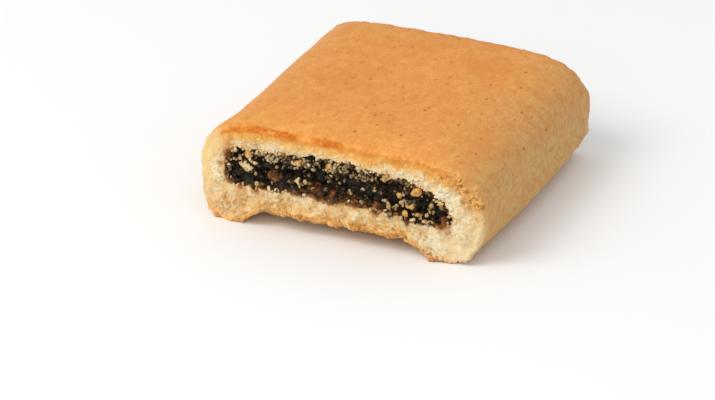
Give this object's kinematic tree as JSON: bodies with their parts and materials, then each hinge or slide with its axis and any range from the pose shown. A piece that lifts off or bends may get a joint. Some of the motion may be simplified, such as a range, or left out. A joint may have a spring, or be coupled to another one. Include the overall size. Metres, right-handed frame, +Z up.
{
  "type": "fig roll",
  "caption": "Baked pastry bar with rounded shoulders and a flat base, cut across at both ends to show a seedy ribbon of dark fig paste.",
  "frame": {"origin": "middle of the flat base, in the plane that the roll rests on", "axes": "+X across the roll's width, +Y along its length from the pictured cut end to the far one, +Z up"},
  "size_m": [0.0394, 0.0434, 0.014],
  "materials": {
    "baked_pastry": "satin golden crust, pale open crumb where it is cut",
    "fig_paste": "moist dark paste with tan seeds"
  },
  "bodies": {
    "root": {"pastry": "baked_pastry", "fig_paste": "fig_paste"}
  },
  "joints": []
}
